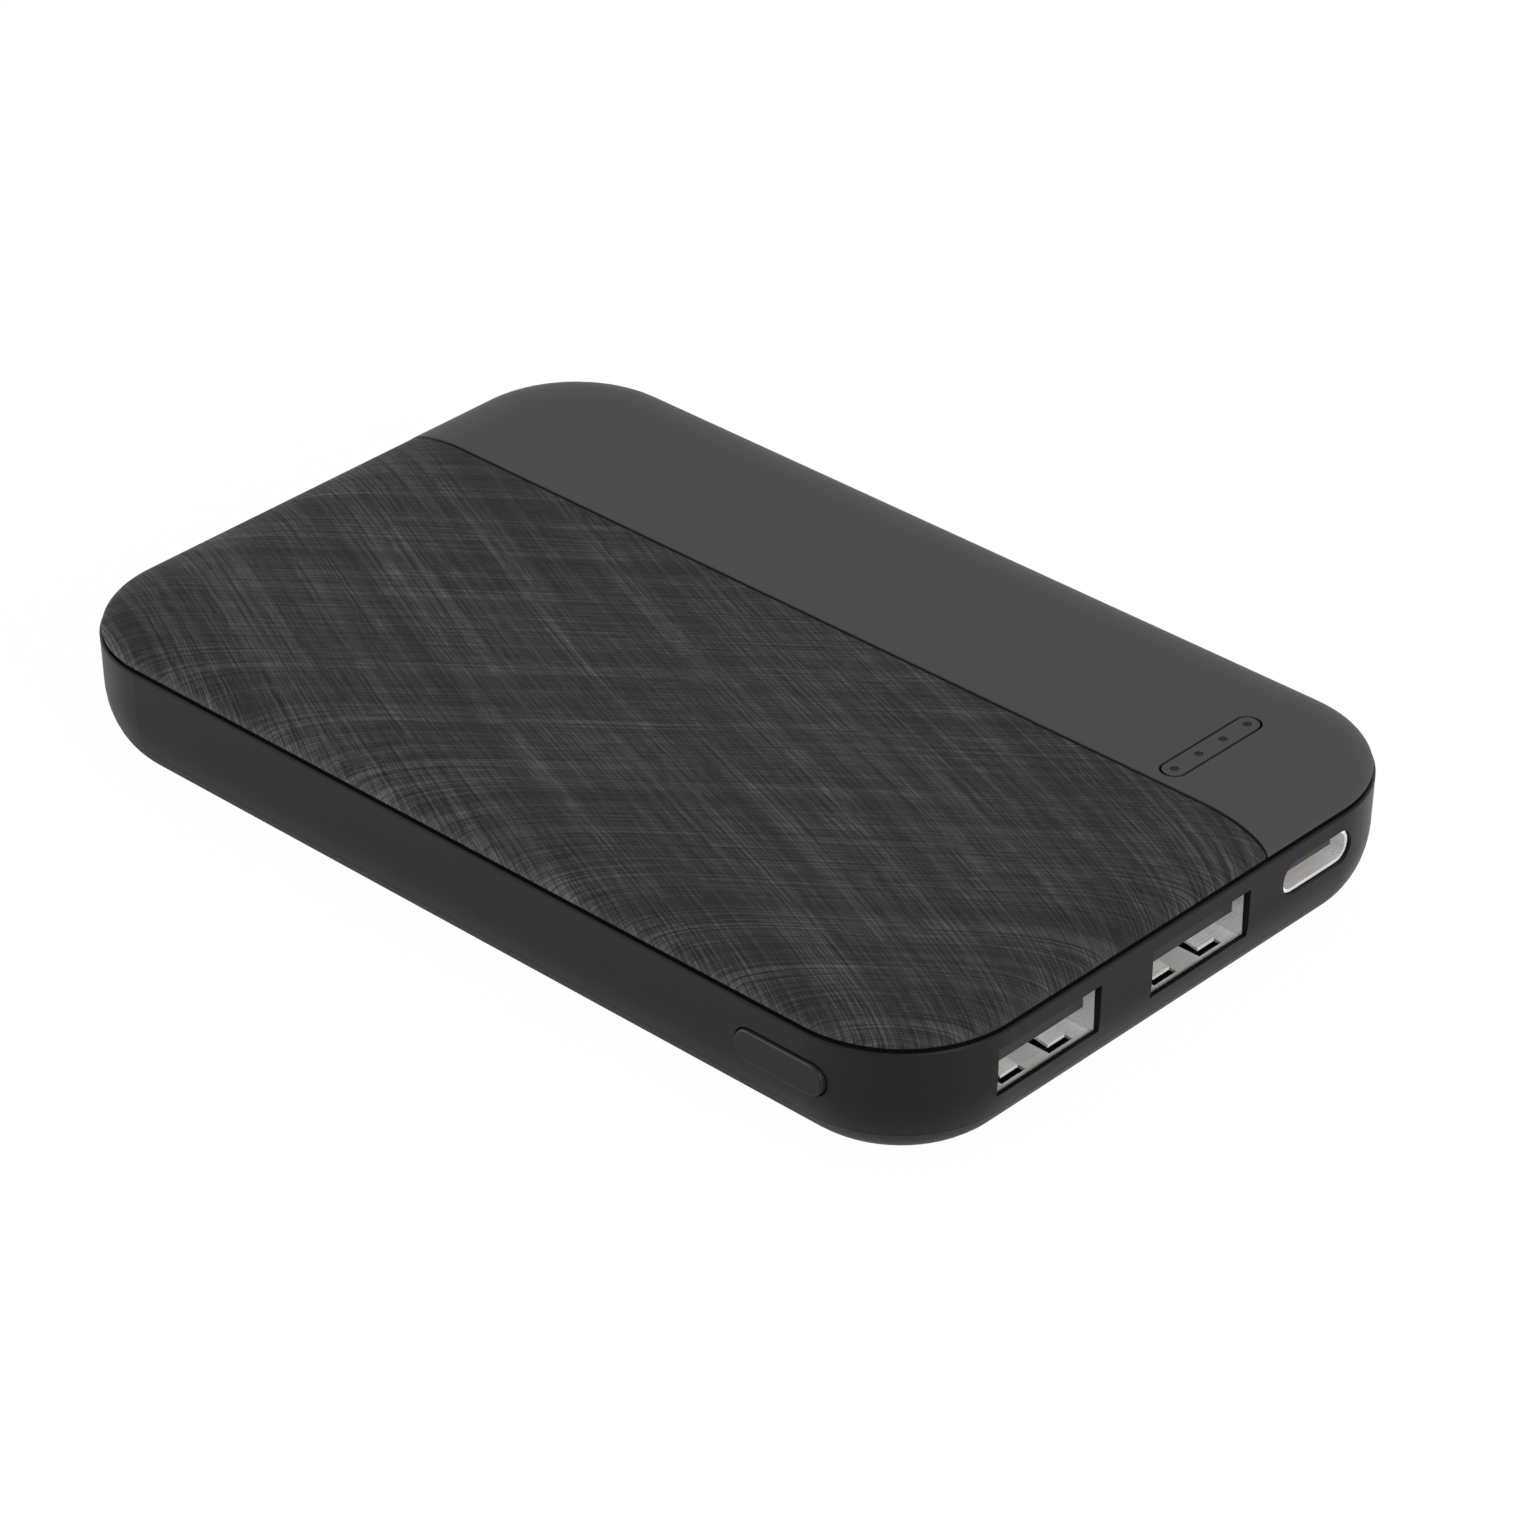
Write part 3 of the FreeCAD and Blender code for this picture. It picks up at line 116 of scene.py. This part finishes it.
class Nodes:
    """A material's node tree, with short calls for adding and linking nodes."""

    def __init__(self, name, colour, roughness, metallic=0.0, gloss=PLASTIC_GLOSS):
        self.material = bpy.data.materials.new(name)
        self.material.use_nodes = True
        self.tree = self.material.node_tree
        self.shader = self.tree.nodes["Principled BSDF"]
        self.shader.inputs["Base Color"].default_value = (*colour, 1)
        self.shader.inputs["Roughness"].default_value = roughness
        self.shader.inputs["Metallic"].default_value = metallic
        self.shader.inputs["Specular IOR Level"].default_value = gloss

    def add(self, kind, **values):
        node = self.tree.nodes.new(kind)
        for name, value in values.items():
            setattr(node, name, value)
        return node

    def link(self, source, target):
        self.tree.links.new(source, target)

    def place(self):
        """The surface point, in metres, in the part's own frame."""
        return self.add("ShaderNodeTexCoord").outputs["Object"]

    def mapped(self, turn, stretch, source):
        """Points turned about Z and then stretched."""
        rotate = self.add("ShaderNodeMapping", vector_type="POINT")
        rotate.inputs["Rotation"].default_value = (0, 0, turn)
        self.link(source, rotate.inputs["Vector"])
        scale = self.add("ShaderNodeMapping", vector_type="POINT")
        scale.inputs["Scale"].default_value = stretch
        self.link(rotate.outputs["Vector"], scale.inputs["Vector"])
        return scale.outputs["Vector"]

    def noise(self, source, scale=1.0, detail=2.0):
        node = self.add("ShaderNodeTexNoise")
        node.inputs["Scale"].default_value = scale
        node.inputs["Detail"].default_value = detail
        self.link(source, node.inputs["Vector"])
        return node.outputs["Fac"]

    def ramp(self, source, low, high, start=0.0, stop=1.0):
        """Map low..high to start..stop, clamped."""
        node = self.add("ShaderNodeMapRange")
        for name, value in (("From Min", low), ("From Max", high),
                            ("To Min", start), ("To Max", stop)):
            node.inputs[name].default_value = value
        self.link(source, node.inputs["Value"])
        return node.outputs["Result"]

    def math(self, operation, first, second):
        node = self.add("ShaderNodeMath", operation=operation)
        for socket, value in zip(node.inputs, (first, second)):
            if isinstance(value, (int, float)):
                socket.default_value = value
            else:
                self.link(value, socket)
        return node.outputs["Value"]

    def mix(self, factor, low, high):
        """A colour between low and high."""
        node = self.add("ShaderNodeMix", data_type="RGBA")
        self.link(factor, node.inputs["Factor"])
        node.inputs["A"].default_value = (*low, 1)
        node.inputs["B"].default_value = (*high, 1)
        return node.outputs["Result"]

    def colour(self, source):
        self.link(source, self.shader.inputs["Base Color"])

    def rough(self, source):
        self.link(source, self.shader.inputs["Roughness"])

    def bump(self, source, height, strength=1.0):
        node = self.add("ShaderNodeBump")
        node.inputs["Strength"].default_value = strength
        node.inputs["Distance"].default_value = height
        self.link(source, node.inputs["Height"])
        self.link(node.outputs["Normal"], self.shader.inputs["Normal"])


def shade(colour, factor):
    """A colour made lighter or darker, with no part above 1."""
    return tuple(min(1.0, part * factor) for part in colour)


def moulded(name, colour, roughness, grain=9000.0, depth=0.004 * MM):
    """Moulded plastic: a fine spark-eroded grain and slight clouds of colour."""
    nodes = Nodes(name, colour, roughness)
    place = nodes.place()
    clouds = nodes.noise(place, 70.0, 3.0)
    nodes.colour(nodes.mix(clouds, shade(colour, 0.94), shade(colour, 1.06)))
    grains = nodes.noise(place, grain, 2.0)
    nodes.rough(nodes.ramp(grains, NOISE_LOW, NOISE_HIGH, roughness - 0.03, roughness + 0.03))
    nodes.bump(grains, depth)
    return nodes.material


def metal(name, colour, roughness, turn=0.0, metallic=1.0):
    """Bright metal with faint rolling lines."""
    nodes = Nodes(name, colour, roughness, metallic)
    lines = nodes.noise(nodes.mapped(turn, (300, 9000, 9000), nodes.place()), 1.0, 2.0)
    nodes.colour(nodes.mix(lines, shade(colour, 0.9), shade(colour, 1.08)))
    nodes.rough(nodes.ramp(lines, NOISE_LOW, NOISE_HIGH, roughness * 0.8, roughness * 1.2))
    nodes.bump(lines, 0.001 * MM)
    return nodes.material


def flattened(nodes):
    """The surface point seen from straight above, so the pattern runs down the edges."""
    split = nodes.add("ShaderNodeSeparateXYZ")
    nodes.link(nodes.place(), split.inputs["Vector"])
    flat = nodes.add("ShaderNodeCombineXYZ")
    nodes.link(split.outputs["X"], flat.inputs["X"])
    nodes.link(split.outputs["Y"], flat.inputs["Y"])
    return flat.outputs["Vector"]


def bent(nodes, source, amount, scale):
    """The points moved by slow noise, so straight lines swing gently."""
    noise = nodes.add("ShaderNodeTexNoise")
    noise.inputs["Scale"].default_value = scale
    noise.inputs["Detail"].default_value = 0.0
    nodes.link(source, noise.inputs["Vector"])
    centred = nodes.add("ShaderNodeVectorMath", operation="SUBTRACT")
    nodes.link(noise.outputs["Color"], centred.inputs[0])
    centred.inputs[1].default_value = (0.5, 0.5, 0.5)
    scaled = nodes.add("ShaderNodeVectorMath", operation="SCALE")
    nodes.link(centred.outputs["Vector"], scaled.inputs[0])
    scaled.inputs["Scale"].default_value = amount
    moved = nodes.add("ShaderNodeVectorMath", operation="ADD")
    nodes.link(source, moved.inputs[0])
    nodes.link(scaled.outputs["Vector"], moved.inputs[1])
    return moved.outputs["Vector"]


def streaks(nodes, source, turn, kind):
    """Streaks in one direction, as a share from 0 to 1."""
    along, across, low, high = kind
    mapped = nodes.mapped(turn, (along, across, 1), source)
    return nodes.ramp(nodes.noise(mapped, 1.0, 1.0), low, high)


def line_family(nodes, source, turn):
    """Lines in one direction: threads, hair lines and dashes, gathered in broad bands."""
    bands = streaks(nodes, source, turn, BANDS)
    threads = streaks(nodes, source, turn, THREADS)
    hairs = streaks(nodes, source, turn, HAIRS)
    dashes = streaks(nodes, source, turn, DASHES)
    body = nodes.math("ADD", nodes.math("MULTIPLY", threads, THREAD_WEIGHT),
                      nodes.math("MULTIPLY", hairs, HAIR_WEIGHT))
    body = nodes.math("ADD", body, nodes.math("MULTIPLY", dashes, DASH_WEIGHT))
    fading = nodes.math("ADD", nodes.math("MULTIPLY", bands, BAND_DEPTH), 1 - BAND_DEPTH)
    return nodes.math("MULTIPLY", body, fading)


def crossed_lines():
    """Dark film with two crossing families of fine lines, as if woven."""
    nodes = Nodes("crossed_lines", PANEL_DARK, 0.5, gloss=PANEL_GLOSS)
    place = bent(nodes, flattened(nodes), BEND, BEND_SCALE)
    falling = line_family(nodes, place, FALLING_TURN)
    rising = line_family(nodes, place, RISING_TURN)
    crossing = nodes.math("MULTIPLY", falling, rising)
    both = nodes.math("ADD", nodes.math("MULTIPLY", falling, FALLING_WEIGHT),
                      nodes.math("MULTIPLY", rising, RISING_WEIGHT))
    total = nodes.math("ADD", both, nodes.math("MULTIPLY", crossing, CROSSING_WEIGHT))
    nodes.colour(nodes.mix(total, PANEL_DARK, PANEL_LIGHT))
    nodes.rough(nodes.ramp(total, 0.0, 1.0, GAP_ROUGHNESS, LINE_ROUGHNESS))
    nodes.bump(total, LINE_HEIGHT)
    return nodes.material


def film(name, colour, roughness):
    """A thin film or coating, with soft uneven patches."""
    nodes = Nodes(name, colour, roughness)
    folds = nodes.noise(nodes.place(), 160.0, 4.0)
    nodes.colour(nodes.mix(folds, shade(colour, 0.85), shade(colour, 1.12)))
    nodes.bump(folds, 0.02 * MM)
    return nodes.material


def finishes():
    """One material for each slot of the record."""
    return {
        "frame_black": moulded("frame_black", FRAME_BLACK, 0.38),
        "strip_grey": moulded("strip_grey", STRIP_GREY, 0.5),
        "panel_film": crossed_lines(),
        "adhesive": film("adhesive", (0.6, 0.6, 0.57), 0.4),
        "smoked_guide": moulded("smoked_guide", (0.002, 0.002, 0.002), 0.5),
        "lamp_white": moulded("lamp_white", (0.8, 0.78, 0.66), 0.4),
        "button_black": moulded("button_black", shade(FRAME_BLACK, 1.6), 0.4),
        "switch_black": moulded("switch_black", (0.02, 0.02, 0.02), 0.5),
        "plunger_brown": moulded("plunger_brown", (0.2, 0.1, 0.05), 0.5),
        # Half metallic, because a fully metallic shell looks dark inside its socket.
        "socket_steel": metal("socket_steel", STEEL, 0.32, ROLLING_TURN, metallic=0.5),
        "solder_silver": metal("solder_silver", (0.6, 0.6, 0.58), 0.35),
        "tongue_dark": moulded("tongue_dark", (0.03, 0.03, 0.03), 0.45),
        # The slot is called white, but the USB-A tongues are dark.
        "tongue_white": moulded("tongue_white", (0.02, 0.02, 0.02), 0.45),
        "contact_gold": metal("contact_gold", (0.78, 0.55, 0.22), 0.25),
        "board_green": film("board_green", (0.012, 0.1, 0.04), 0.35),
        "screw_steel": metal("screw_steel", (0.5, 0.5, 0.5), 0.3),
        "ferrite_grey": moulded("ferrite_grey", (0.1, 0.1, 0.1), 0.6),
        "chip_black": moulded("chip_black", (0.015, 0.015, 0.016), 0.5),
        "capacitor_tan": moulded("capacitor_tan", (0.4, 0.27, 0.15), 0.45),
        "pouch_foil": film("pouch_foil", (0.5, 0.5, 0.51), 0.35),
        "foam_black": moulded("foam_black", (0.02, 0.02, 0.02), 0.9, grain=2500.0, depth=0.1 * MM),
        "tape_amber": film("tape_amber", (0.5, 0.22, 0.03), 0.2),
        "tab_nickel": metal("tab_nickel", (0.6, 0.58, 0.54), 0.3),
        "lead_red": moulded("lead_red", (0.4, 0.01, 0.01), 0.4),
        "lead_black": moulded("lead_black", (0.02, 0.02, 0.02), 0.4),
    }


def dress(materials):
    """Give every node of the frame its slot's material."""
    slots = {item["node"]: item["material_slot"] for item in frame["record"]["subparts"]}
    for name, slot in slots.items():
        mesh = frame["nodes"][name].data
        mesh.materials.clear()
        mesh.materials.append(materials[slot])


# ---------------------------------------------------------------- stage

def floor():
    """A pale floor that the camera sees as white, with a trace of the object's shadow."""
    low = CAD_BOX[0][2]
    mesh = bpy.data.meshes.new("floor")
    corners = [(x * FLOOR_HALF, y * FLOOR_HALF, low)
               for x, y in ((-1, -1), (1, -1), (1, 1), (-1, 1))]
    mesh.from_pydata(corners, [], [(0, 1, 2, 3)])
    piece = bpy.data.objects.new("floor", mesh)
    bpy.context.scene.collection.objects.link(piece)
    nodes = Nodes("floor_white", FLOOR_WHITE, roughness=0.9)
    glow = nodes.add("ShaderNodeEmission")
    glow.inputs["Color"].default_value = WHITE
    blend = nodes.add("ShaderNodeMixShader")
    path = nodes.add("ShaderNodeLightPath")
    seen = nodes.math("MULTIPLY", path.outputs["Is Camera Ray"], FLOOR_GLOW)
    nodes.link(seen, blend.inputs["Fac"])
    nodes.link(nodes.shader.outputs["BSDF"], blend.inputs[1])
    nodes.link(glow.outputs["Emission"], blend.inputs[2])
    output = nodes.tree.nodes["Material Output"]
    nodes.link(blend.outputs["Shader"], output.inputs["Surface"])
    mesh.materials.append(nodes.material)


def seen_directly(tree, path):
    """1 for rays from the camera, and for rays that gloss or glass passes on."""
    total = path.outputs["Is Camera Ray"]
    for name in ("Is Glossy Ray", "Is Transmission Ray"):
        node = tree.nodes.new("ShaderNodeMath")
        node.operation = "ADD"
        node.use_clamp = True
        tree.links.new(total, node.inputs[0])
        tree.links.new(path.outputs[name], node.inputs[1])
        total = node.outputs["Value"]
    return total


def world():
    """A dim grey surround that the camera, gloss and glass see as white."""
    background = bpy.data.worlds.new("surround")
    background.use_nodes = True
    tree = background.node_tree
    dim = tree.nodes["Background"]
    dim.inputs["Color"].default_value = WHITE
    dim.inputs["Strength"].default_value = SURROUND_CAST
    white = tree.nodes.new("ShaderNodeBackground")
    white.inputs["Color"].default_value = WHITE
    white.inputs["Strength"].default_value = SURROUND_SEEN
    path = tree.nodes.new("ShaderNodeLightPath")
    blend = tree.nodes.new("ShaderNodeMixShader")
    tree.links.new(seen_directly(tree, path), blend.inputs["Fac"])
    tree.links.new(dim.outputs["Background"], blend.inputs[1])
    tree.links.new(white.outputs["Background"], blend.inputs[2])
    tree.links.new(blend.outputs["Shader"], tree.nodes["World Output"].inputs["Surface"])
    bpy.context.scene.world = background


def area_light(name, place, size, power):
    """A rectangular soft lamp at a place, aimed at the case."""
    lamp = bpy.data.lights.new(name, "AREA")
    lamp.shape = "RECTANGLE"
    lamp.size, lamp.size_y = size
    lamp.energy = power
    item = bpy.data.objects.new(name, lamp)
    item.location = place
    item.rotation_euler = (LOOK_AT - Vector(place)).to_track_quat("-Z", "Y").to_euler()
    bpy.context.scene.collection.objects.link(item)


def lights():
    """A broad lamp above, a low one along the button side and one that looks into the sockets."""
    area_light("overhead", place=(-0.1, 0.3, 1.1), size=(1.2, 1.2), power=7.0)
    area_light("left_low", place=(-0.62, -0.80, 0.10), size=(0.9, 0.12), power=14.0)
    area_light("right_fill", place=(0.9, -0.12, 0.42), size=(0.4, 0.4), power=11.0)


def camera():
    """A long lens that looks down on the socket end and the button side."""
    view = bpy.data.cameras.new("camera")
    view.lens = LENS
    view.sensor_width = SENSOR
    view.clip_start = CLIP_START
    item = bpy.data.objects.new("camera", view)
    turn = Matrix.Rotation(AZIMUTH, 4, "Z") @ Matrix.Rotation(math.pi / 2 - ELEVATION, 4, "X")
    away = turn @ Vector((0, 0, DISTANCE))
    item.matrix_world = Matrix.Translation(LOOK_AT + away) @ turn
    bpy.context.scene.collection.objects.link(item)
    bpy.context.scene.camera = item


def main():
    bpy.context.scene.view_settings.view_transform = "Standard"
    camera()
    floor()
    world()
    lights()
    dress(finishes())


main()
